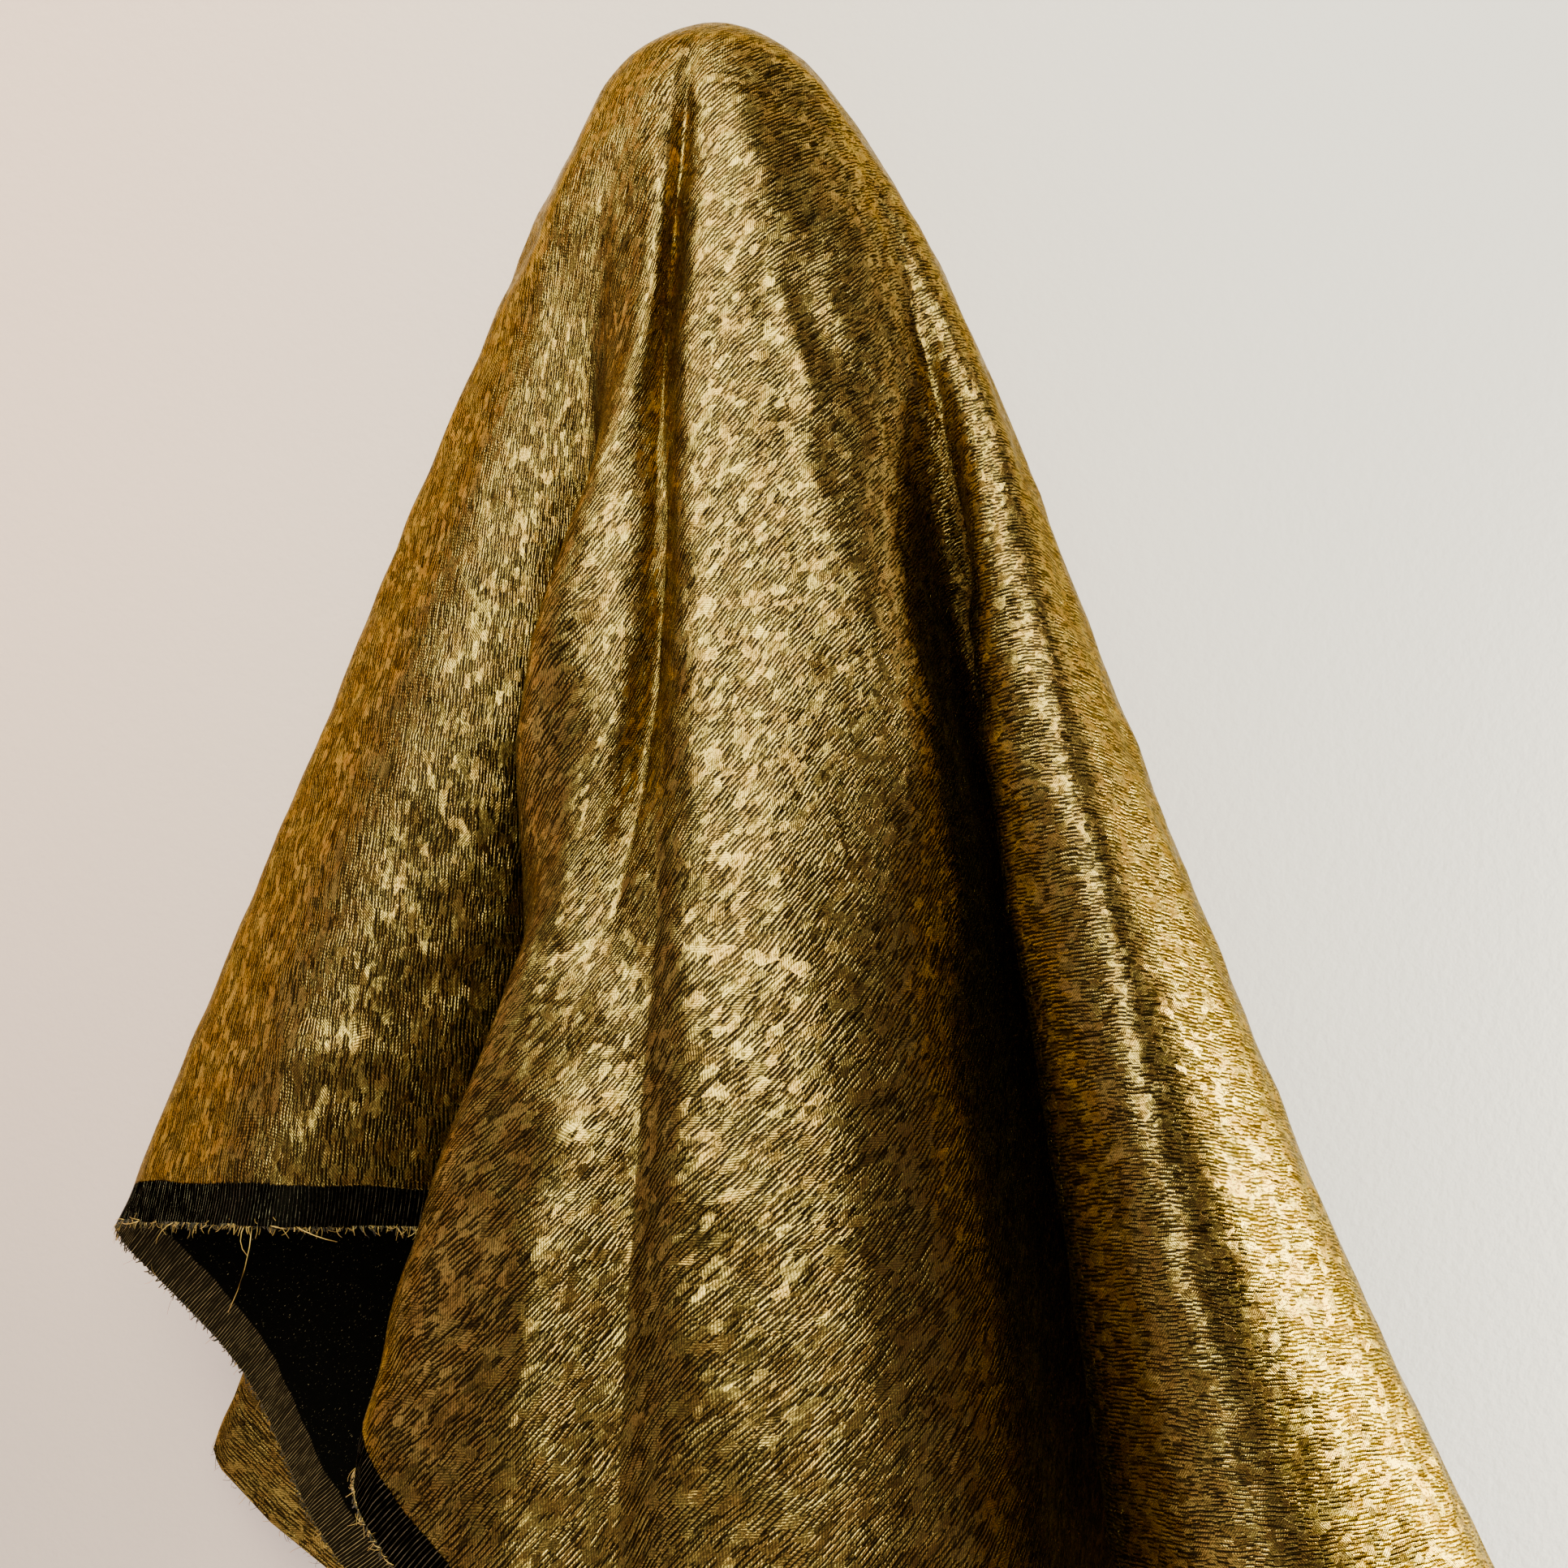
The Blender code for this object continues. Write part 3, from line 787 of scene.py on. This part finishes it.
@dataclass
class HungCloth:
    """The whole cloth as one closed sheet: gold outside, dark inside, with a thin rim along its edges."""

    drape: Drape
    crinkle: Crinkle = field(default_factory=Crinkle)
    thickness: float = 0.0006
    rings: int = 112
    first_ring: float = 0.010
    front_gap: float = 0.50
    back_gap: float = 2.0
    front: tuple[float, float] = (-22.0, 122.0)
    fewest_rays: int = 6
    sharp_deg: float = 75.0
    uv_size: float = 1.45

    def ray_directions(self) -> Array:
        """Directions of the grid's rays, closer together near the folds, with one at each corner."""
        knots = self.drape.column("flat_deg")
        ends = np.append(knots, knots[0] + 360)
        shown = (ends[:-1] >= self.front[0]) & (ends[1:] <= self.front[1])
        wanted = np.diff(ends) / np.where(shown, self.front_gap, self.back_gap)
        counts = np.maximum(np.round(wanted).astype(int), self.fewest_rays)
        rays = np.concatenate([
            start + gap * (np.arange(count) / count - 0.5 / math.pi * np.sin(2 * np.pi * np.arange(count) / count))
            for start, gap, count in zip(ends, np.diff(ends), counts)
        ])
        corners = self.drape.turned(knots, self.drape.flat.corners())
        apart = np.abs(rays[:, None] - corners).min(axis=1)
        return np.sort(np.concatenate([rays[apart > 0.2], corners]))

    def grid(self) -> tuple[Array, Array, Array]:
        """The middle surface of the cloth.

        Returns:
            Points of the rings and rays, and their flat coordinates u and v.
        """
        degrees = self.ray_directions()
        share = np.linspace(0.0, 1.0, self.rings)[:, None]
        reach = self.first_ring + share * (self.drape.flat.reach(degrees) - self.first_ring)
        points = self.drape.surface(degrees, reach)
        across, along = reach * np.cos(np.radians(degrees)), reach * np.sin(np.radians(degrees))
        return points, across, along

    @staticmethod
    def normals(points: Array) -> Array:
        """Unit normals that point out of the drape: the step outwards crossed with the step round."""
        outwards = np.gradient(points, axis=0)
        round_it = np.roll(points, -1, axis=1) - np.roll(points, 1, axis=1)
        normal = np.cross(outwards, round_it)
        return normal / np.linalg.norm(normal, axis=-1, keepdims=True)

    def build(self) -> bpy.types.Object:
        """Make the sheet, with its flat coordinates as an attribute and as a UV map."""
        points, across, along = self.grid()
        points = points + self.normals(points) * self.crinkle.lift(across, along)[..., None]
        normal = self.normals(points)
        rings, rays = across.shape
        count = 1 + rings * rays
        half = self.thickness / 2
        sides = [
            np.concatenate([[[0.0, 0.0, sign * half]], (points + sign * half * normal).reshape(-1, 3)])
            for sign in (1, -1)
        ]
        ring, ray = np.meshgrid(np.arange(rings - 1), np.arange(rays), indexing="ij")
        beside = (ray + 1) % rays
        here, there = 1 + ring * rays + ray, 1 + ring * rays + beside
        gold = np.stack([here, here + rays, there + rays, there], axis=-1).reshape(-1, 4)
        last, after = count - rays + np.arange(rays), count - rays + (np.arange(rays) + 1) % rays
        rim = np.stack([last, last + count, after + count, after], axis=-1)
        around, following = 1 + np.arange(rays), 1 + (np.arange(rays) + 1) % rays
        fan = np.stack([np.zeros(rays, int), around, following], axis=-1)
        quads = np.concatenate([gold, gold[:, [0, 3, 2, 1]] + count, rim])
        made = new_mesh("hung_cloth", np.concatenate(sides), quads, np.concatenate([fan, fan[:, ::-1] + count]))
        flat = np.stack([np.append(0.0, across), np.append(0.0, along)], axis=-1)
        self.mark(made.data, np.concatenate([flat, flat]), len(gold), len(rim), len(fan), count)
        made.data.set_sharp_from_angle(angle=math.radians(self.sharp_deg))
        return made

    def mark(self, mesh: bpy.types.Mesh, flat: Array, gold: int, rim: int, fan: int, count: int) -> None:
        """Keep the flat place of each point, lay out the UV map and tell the two sides apart.

        Args:
            mesh: the sheet.
            flat: the place (u, v) of each point.
            gold: how many quads each side has.
            rim: how many quads the rim has.
            fan: how many triangles each side has at the crown.
            count: how many points each side has.
        """
        place = mesh.attributes.new(PLACE, "FLOAT_VECTOR", "POINT")
        side = (np.arange(len(flat)) >= count).astype(float)
        place.data.foreach_set("vector", np.column_stack([flat, side * 0.05]).astype(np.float32).ravel())
        low = np.array([-self.drape.flat.to_cut_side, -self.drape.flat.behind])
        spread = (flat - low) / self.uv_size + side[:, None] * np.array([0.5, 0.0])
        corners = np.empty(len(mesh.loops), np.int32)
        mesh.loops.foreach_get("vertex_index", corners)
        layer = mesh.uv_layers.new(name=UV_MAP)
        layer.data.foreach_set("uv", spread[corners].astype(np.float32).ravel())
        slots = np.concatenate([
            np.full(gold, Side.GOLD.value), np.full(gold, Side.REVERSE.value), np.full(rim, Side.REVERSE.value),
            np.full(fan, Side.GOLD.value), np.full(fan, Side.REVERSE.value),
        ])
        mesh.polygons.foreach_set("material_index", slots.astype(np.int32))

    def dress(self, piece: bpy.types.Object, weave: Weave) -> None:
        """Give the two sides their materials."""
        piece.data.materials.append(GoldFace().build(weave, self.drape.flat))
        piece.data.materials.append(DarkReverse().build(weave, self.drape.flat))


@dataclass(frozen=True)
class Fringe:
    """One run of frayed ends along an edge. Lengths are in metres, leans in degrees."""

    name: str
    edge: Edge
    part: tuple[float, float]
    spacing: float
    length: tuple[float, float]
    radius: float
    lean: float
    lift: float
    gold: float


FRINGES = (
    Fringe("gold ends of the selvage", Edge.SELVAGE, (0.30, 1.0), 0.0008, (0.0020, 0.0062), 0.00014, 80, 55, 0.88),
    Fringe("dark ends of the selvage", Edge.SELVAGE, (0.0, 1.0), 0.0009, (0.0014, 0.0034), 0.00034, 30, 30, 0.05),
    Fringe("stray ends of the selvage", Edge.SELVAGE, (0.0, 0.34), 0.0045, (0.003, 0.0080), 0.00009, 60, 40, 0.45),
    *(
        Fringe(f"ends of the {edge.value} edge", edge, (0.0, 1.0), 0.0022, (0.002, 0.006), 0.00014, 30, 30, gold)
        for edge, gold in ((Edge.FRONT, 0.4), (Edge.CUT_SIDE, 0.6), (Edge.BACK, 0.4))
    ),
)


@dataclass
class FrayedEdges:
    """Thread ends along the four edges and the long threads that have come loose."""

    drape: Drape
    points: int = 5
    sides: int = 3
    root: float = 0.0006
    bend_deg: float = 60.0
    loose_radius: float = 0.00020
    seed: int = 5

    def edge_frames(self, across: Array, along: Array, edge: Edge) -> tuple[Array, Array, Array, Array]:
        """Point, outward, edgewise and upward directions at places of an edge, by small steps on the cloth."""
        step = 0.001
        here = self.drape.place(across, along)
        by_u = (here - self.drape.place(across - math.copysign(step, across.mean()), along)) / step
        by_v = (self.drape.place(across, along + step * np.where(along > 0, -1, 1)) - here) / step
        side = edge in (Edge.SELVAGE, Edge.CUT_SIDE)
        outward, edgewise = (by_u, by_v) if side else (-by_v, by_u)
        unit = [vector / np.linalg.norm(vector, axis=-1, keepdims=True) for vector in (outward, edgewise)]
        upward = np.cross(unit[0], unit[1])
        return here, unit[0], unit[1], upward / np.linalg.norm(upward, axis=-1, keepdims=True)

    def paths(self, frames: tuple[Array, ...], length: Array, lean: Array, lift: Array, curl: Array) -> Array:
        """Curved paths that start just inside the edge.

        Each path turns evenly from its lean by its curl, so the direction at a share of its length is the cosine
        of the angle outwards plus its sine along the edge, with the lift added.

        Args:
            frames: point, outward, edgewise and upward direction of each root.
            length: each thread's length.
            lean: angle along the edge, in radians.
            lift: slope off the cloth.
            curl: turn from root to tip, in radians.

        Returns:
            An array with a row for each thread and a column for each point.
        """
        here, outward, edgewise, upward = frames
        share = np.linspace(0.0, 1.0, self.points)
        angle = lean[:, None] + curl[:, None] * share
        step = (
            np.cos(angle)[..., None] * outward[:, None]
            + np.sin(angle)[..., None] * edgewise[:, None]
            + (lift[:, None] * (1 - share))[..., None] * upward[:, None]
        )
        step *= (length / (self.points - 1))[:, None, None]
        start = here[:, None] - self.root * outward[:, None]
        return start + np.cumsum(step, axis=1) - step[:, :1]

    def tubes(self, paths: Array, radius: Array) -> tuple[Array, Array, Array]:
        """Thin closed tubes along the paths, narrower at the tip.

        Args:
            paths: the points that each thread follows.
            radius: each thread's radius at its root.

        Returns:
            Points, quads and triangles of all the tubes.
        """
        threads, stops = paths.shape[:2]
        forward = np.gradient(paths, axis=1)
        forward /= np.linalg.norm(forward, axis=-1, keepdims=True)
        across = np.cross(forward, np.array([0.31, 0.23, 0.92]))
        across /= np.linalg.norm(across, axis=-1, keepdims=True)
        other = np.cross(forward, across)
        turn = 2 * np.pi * np.arange(self.sides) / self.sides
        wide = radius[:, None] * np.linspace(1.0, 0.55, stops)
        ring = np.cos(turn)[:, None] * across[:, :, None] + np.sin(turn)[:, None] * other[:, :, None]
        points = paths[:, :, None] + wide[:, :, None, None] * ring
        thread, stop, side = np.meshgrid(
            np.arange(threads), np.arange(stops - 1), np.arange(self.sides), indexing="ij"
        )
        here = (thread * stops + stop) * self.sides
        near, far = here + side, here + (side + 1) % self.sides
        quads = np.stack([near, far, far + self.sides, near + self.sides], axis=-1).reshape(-1, 4)
        first = np.arange(threads)[:, None] * stops * self.sides
        last = first + (stops - 1) * self.sides
        caps = np.concatenate([first + np.array([2, 1, 0]), last + np.array([0, 1, 2])])
        return points.reshape(-1, 3), quads, caps

    def fringe(self, row: Fringe, draw: np.random.Generator) -> tuple[Array, Array, Array]:
        """Paths, radii and tints of one run of frayed ends."""
        across_size, along_size = self.drape.flat.size()
        total = along_size if row.edge in (Edge.SELVAGE, Edge.CUT_SIDE) else across_size
        count = int(total * (row.part[1] - row.part[0]) / row.spacing)
        share = row.part[0] + (row.part[1] - row.part[0]) * (np.arange(count) + draw.uniform(0.1, 0.9, count)) / count
        frames = self.edge_frames(*self.drape.flat.edge(row.edge, share), row.edge)
        length = draw.uniform(*row.length, count) * draw.uniform(0.5, 1.0, count)
        lean = np.radians(draw.normal(0, row.lean / 2, count))
        lift = np.tan(np.radians(draw.uniform(-row.lift, row.lift, count)))
        curl = np.radians(draw.normal(0, self.bend_deg, count))
        radius = row.radius * draw.uniform(0.7, 1.3, count)
        tint = np.where(draw.random(count) < row.gold, draw.uniform(0.6, 1.0, count), draw.uniform(0, 0.1, count))
        return self.paths(frames, length, lean, lift, curl), radius, tint

    def loose(self) -> tuple[Array, Array, Array]:
        """Paths, radii and tints of the long loose threads."""
        along = np.array([row.along for row in LOOSE_THREADS]) * MM
        across = np.full_like(along, self.drape.flat.to_selvage)
        frames = self.edge_frames(across, along, Edge.SELVAGE)
        angles = np.radians([[row.lean, row.lift, row.curl] for row in LOOSE_THREADS])
        length = np.array([row.length for row in LOOSE_THREADS]) * MM
        paths = self.paths(frames, length, angles[:, 0], np.tan(angles[:, 1]), angles[:, 2])
        return paths, np.full(len(along), self.loose_radius), np.ones(len(along))

    def build(self) -> bpy.types.Object:
        """Make all the threads as one piece, with each thread's tint as an attribute."""
        draw = np.random.default_rng(self.seed)
        made = [self.fringe(row, draw) for row in FRINGES] + [self.loose()]
        paths, radius, tint = (np.concatenate(part) for part in zip(*made))
        points, quads, caps = self.tubes(paths, radius)
        piece = new_mesh("frayed_ends", points, quads, caps)
        layer = piece.data.attributes.new(TINT, "FLOAT", "POINT")
        layer.data.foreach_set("value", np.repeat(tint, self.points * self.sides).astype(np.float32))
        return piece

    def dress(self, piece: bpy.types.Object) -> None:
        """Give the threads their finish."""
        piece.data.materials.append(ThreadFinish().build())


class Lamp(NamedTuple):
    """A soft area light: where it is, what it points at, its two sides, its power and its colour."""

    name: str
    place: tuple[float, float, float]
    target: tuple[float, float, float]
    size: tuple[float, float]
    power: float
    colour: Colour


LAMPS = (
    Lamp("skylight", (-0.25, -1.00, 1.30), (0.0, 0.05, -0.30), (1.5, 1.0), 42.0, (0.95, 1.0, 0.66)),
    Lamp("window in front", (0.20, -1.56, 0.52), (0.0, 0.0, -0.30), (0.95, 1.0), 30.0, (0.94, 1.0, 0.62)),
    Lamp("wall lit at the right", (0.62, 0.012, -0.51), (0.20, -0.10, -0.51), (0.08, 0.60), 8.2, (0.95, 1.0, 0.62)),
    Lamp("warm room at the left", (-1.50, -0.75, 0.10), (-0.1, 0.0, -0.35), (0.7, 1.0), 2.0, (1.0, 0.84, 0.66)),
)


@dataclass(frozen=True)
class Plaster:
    """Finish of the wall: pale with a fine stipple, a painted warm light cast at the left and a painted cool one at
    the right, a painted shadow low at the left, and a faint painted glow of room light over all.
    """

    # painted light: a warm light cast at the left and a cool light cast at the right, laid into the wall colour
    left: Colour = (0.99, 0.67, 0.63)
    right: Colour = (0.91, 0.84, 0.99)
    # painted shadow colour, for the wall low at the left
    low: Colour = (0.60, 0.42, 0.40)
    # painted light: an even glow standing in for the room's light on the wall, though the wall is no lamp
    glow: Colour = (1.0, 0.88, 0.86)
    glow_strength: float = 0.42

    def build(self) -> bpy.types.Material:
        """Make the material. Seen from behind, the wall is clear, so that the cloth shows from all sides."""
        nodes = Nodes("pale plaster")
        place = nodes.node("TexCoord", {}).outputs["Object"]
        across, up = nodes.part(place, 0), nodes.part(place, 2)
        # painted light: warm light cast at the left blending into cool light at the right
        colour = nodes.mix(nodes.step(across, -0.35, 0.30), self.left, self.right)
        # painted shadow: the wall darker low at the left, where shade falls
        corner = nodes.maths("MULTIPLY", nodes.step(across, 0.10, -0.35), nodes.step(up, -0.15, -0.65))
        colour = nodes.mix(corner, colour, self.low)
        stipple = nodes.noise(place, 260.0, 2.0, 0.6, "3D")
        bump = nodes.node("Bump", {"Strength": 0.35, "Distance": MM, "Height": stipple})
        inputs = {
            "Base Color": colour,
            "Roughness": 0.85,
            # painted light: the wall glows evenly, as if lit by the room
            "Emission Color": self.glow,
            "Emission Strength": self.glow_strength,
            "Normal": bump.outputs[0],
        }
        wall = nodes.node("BsdfPrincipled", inputs)
        clear = nodes.node("BsdfTransparent", {})
        behind = nodes.node("NewGeometry", {}).outputs["Backfacing"]
        return nodes.finish(nodes.node("MixShader", {0: behind, 1: wall.outputs[0], 2: clear.outputs[0]}))


@dataclass
class Studio:
    """Camera, lights, wall and floor. None of them is part of the object."""

    eye: tuple[float, float, float] = (0.026, -0.68, -0.290)
    focal_px: float = 2170.0
    sensor: float = 36.0
    wall_y: float = 0.056
    floor_z: float = -1.0
    half_width: float = 1.7
    floor_reach: float = 2.2
    daylight: Colour = (0.150, 0.112, 0.106)

    def camera(self) -> None:
        """A level camera that looks along +Y, with the photograph's field of view."""
        data = bpy.data.cameras.new("camera")
        data.sensor_width = self.sensor
        data.lens = self.focal_px * self.sensor / IMAGE_SIDE
        data.clip_start = 0.01
        made = bpy.data.objects.new("camera", data)
        made.location = self.eye
        made.rotation_euler = (math.pi / 2, 0.0, 0.0)
        bpy.context.scene.collection.objects.link(made)
        bpy.context.scene.camera = made

    def lights(self) -> None:
        """The soft area lights and an even light all round."""
        for lamp in LAMPS:
            data = bpy.data.lights.new(lamp.name, "AREA")
            data.shape = "RECTANGLE"
            data.size, data.size_y = lamp.size
            data.energy = lamp.power
            data.color = lamp.colour
            made = bpy.data.objects.new(lamp.name, data)
            made.location = lamp.place
            aim = made.location.copy()
            aim.xyz = [target - place for target, place in zip(lamp.target, lamp.place)]
            made.rotation_euler = aim.to_track_quat("-Z", "Y").to_euler()
            bpy.context.scene.collection.objects.link(made)
        world = bpy.data.worlds.new("daylight")
        world.use_nodes = True
        world.node_tree.nodes["Background"].inputs["Color"].default_value = (*self.daylight, 1.0)
        bpy.context.scene.world = world

    def sheet(self, name: str, corners: list[tuple[float, float, float]]) -> bpy.types.Object:
        """A plain four-sided piece of the stage, which faces the side its corners turn to."""
        made = new_mesh(name, np.array(corners), np.array([[0, 1, 2, 3]]), np.empty((0, 3), int))
        return made

    def build(self) -> None:
        """Set up the stage."""
        self.camera()
        self.lights()
        wide, back, low = self.half_width, self.wall_y, self.floor_z
        wall = self.sheet("wall", [(-wide, back, low), (wide, back, low), (wide, back, 1.0), (-wide, back, 1.0)])
        wall.data.materials.append(Plaster().build())
        near = self.floor_reach
        floor = self.sheet("floor", [(-wide, -near, low), (wide, -near, low), (wide, near, low), (-wide, near, low)])
        nodes = Nodes("pale floor")
        place = nodes.node("TexCoord", {}).outputs["Object"]
        tone = nodes.mix(nodes.noise(place, 3.0, 3.0), (0.62, 0.56, 0.57), (0.68, 0.62, 0.63))
        floor.data.materials.append(
            nodes.finish(nodes.node("BsdfPrincipled", {"Base Color": tone, "Roughness": 0.8}))
        )


def report(piece: bpy.types.Object) -> None:
    """Log a piece's name and how many faces it has."""
    LOG.info("%s: %d faces", piece.name, len(piece.data.polygons))


def main() -> None:
    """Build the stage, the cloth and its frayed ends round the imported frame."""
    logging.basicConfig(level=logging.INFO, format="%(name)s: %(message)s")
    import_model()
    Studio().build()
    drape, weave = Drape(), Weave()

    cloth = HungCloth(drape)
    sheet = cloth.build()
    cloth.dress(sheet, weave)
    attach(sheet, BODY)
    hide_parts(NODE)
    report(sheet)

    edges = FrayedEdges(drape)
    threads = edges.build()
    edges.dress(threads)
    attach(threads, BODY)
    report(threads)
    drape.flat.size()


if __name__ == "__main__":
    main()
